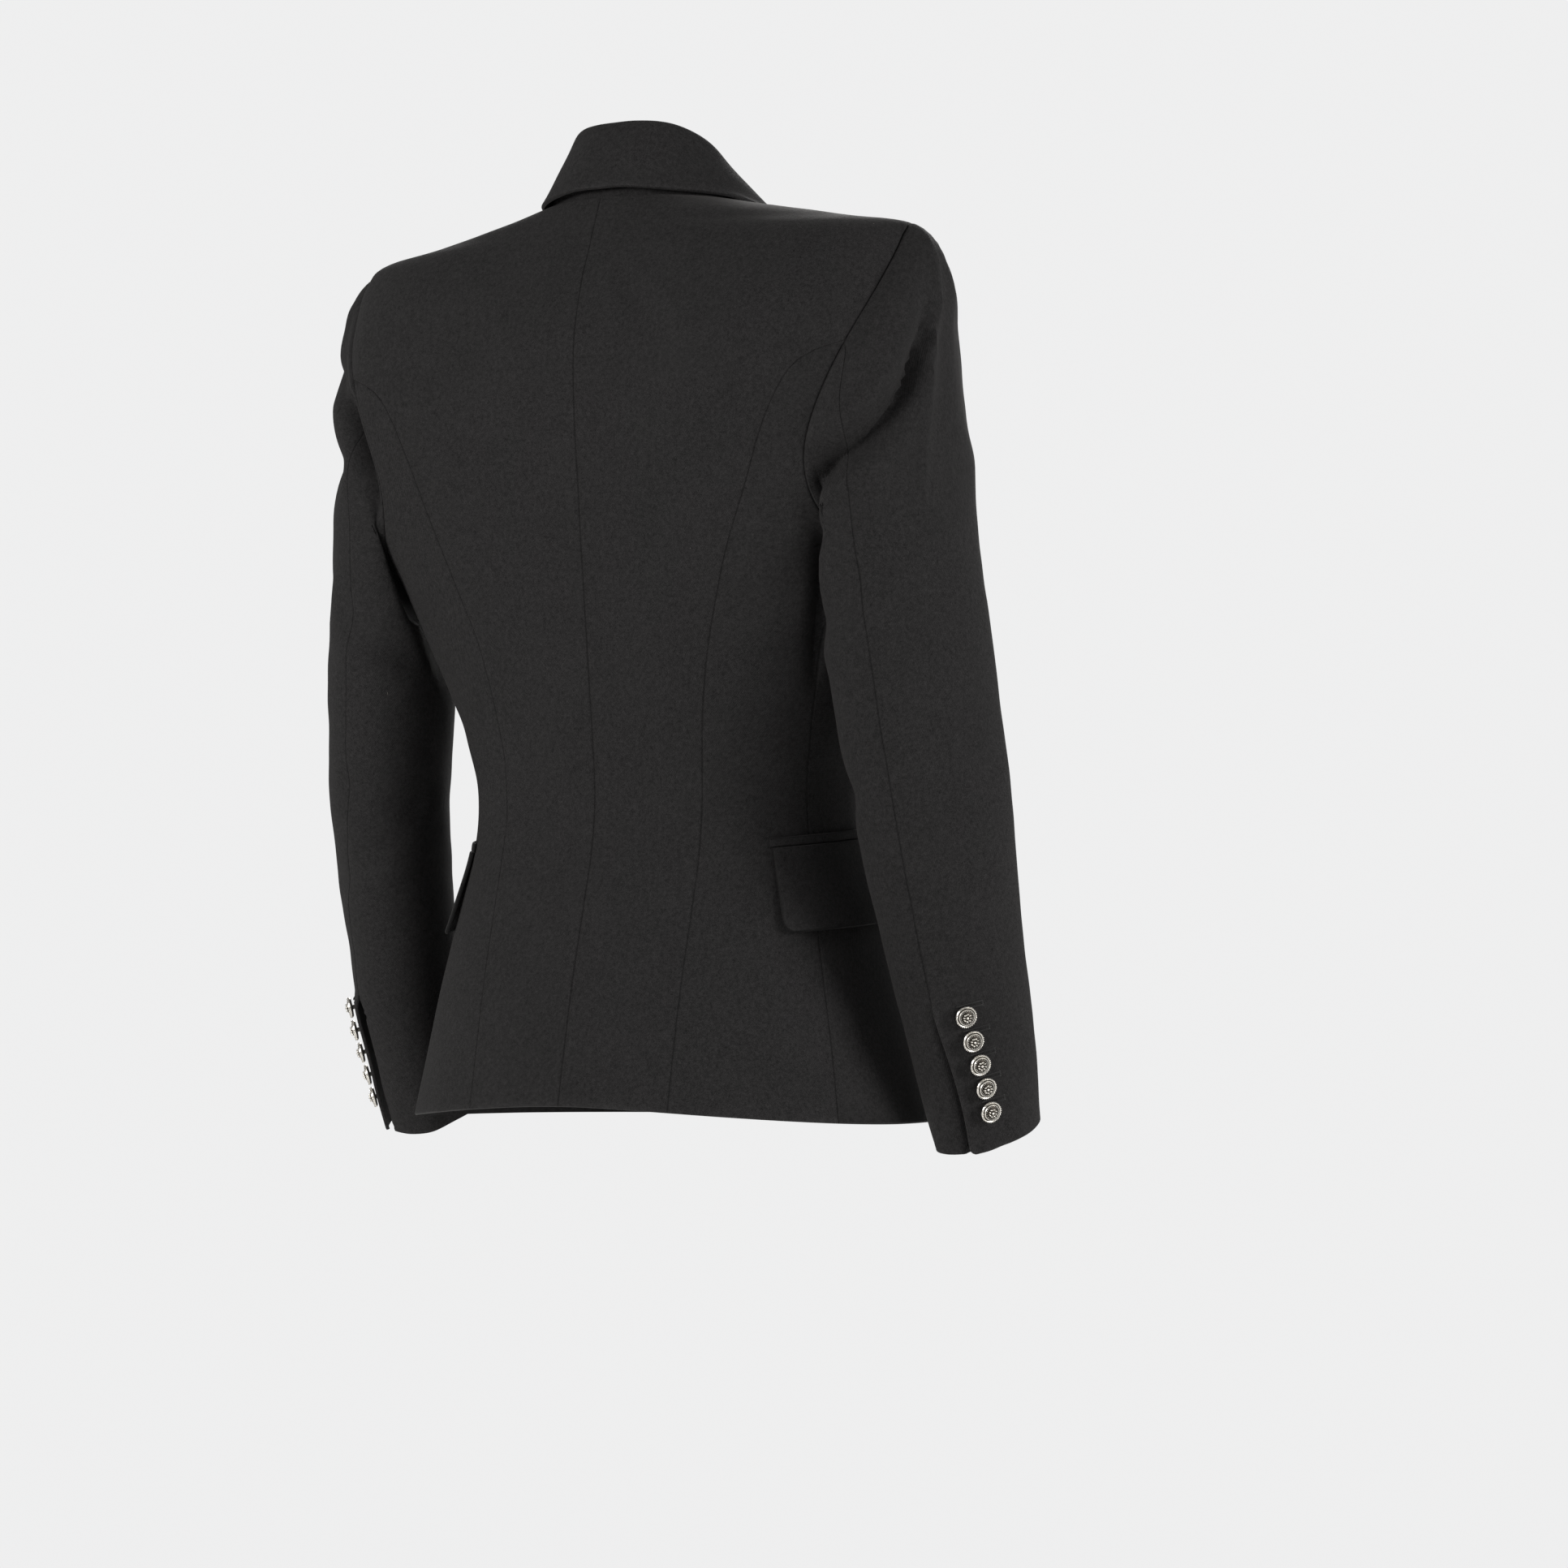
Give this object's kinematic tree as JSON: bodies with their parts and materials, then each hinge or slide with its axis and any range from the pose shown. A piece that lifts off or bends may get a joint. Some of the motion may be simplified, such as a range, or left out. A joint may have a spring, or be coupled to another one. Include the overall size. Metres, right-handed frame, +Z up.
{
  "type": "fitted jacket",
  "caption": "Black fitted single-breasted wool jacket in its worn form, with notched lapels, hip flap pockets, princess seams and silver-coloured domed cuff buttons.",
  "frame": {"origin": "inside the neck opening, on the centre line, level with the seam where the collar is sewn on", "axes": "+Z up along the wearer's neck, -Y towards the front of the jacket, +X towards the wearer's left"},
  "size_m": [0.5165, 0.2695, 0.6764],
  "materials": {
    "black_wool": "matte, lightly pressed",
    "old_silver": "antiqued, soft shine"
  },
  "bodies": {
    "root": {"back_left": "black_wool", "back_right": "black_wool", "side_back_left": "black_wool", "side_back_right": "black_wool", "front_left": "black_wool", "front_right": "black_wool", "upper_sleeve_left": "black_wool", "upper_sleeve_right": "black_wool", "under_sleeve_left": "black_wool", "under_sleeve_right": "black_wool", "lapel_left": "black_wool", "lapel_right": "black_wool", "pocket_welt_left": "black_wool", "pocket_welt_right": "black_wool", "pocket_flap_left": "black_wool", "pocket_flap_right": "black_wool", "collar_fall": "black_wool", "collar_stand": "black_wool", "cuff_button_left_1": "old_silver", "cuff_button_left_2": "old_silver", "cuff_button_left_3": "old_silver", "cuff_button_left_4": "old_silver", "cuff_button_left_5": "old_silver", "cuff_button_right_1": "old_silver", "cuff_button_right_2": "old_silver", "cuff_button_right_3": "old_silver", "cuff_button_right_4": "old_silver", "cuff_button_right_5": "old_silver", "front_button_1": "old_silver", "front_button_2": "old_silver"}
  },
  "joints": []
}
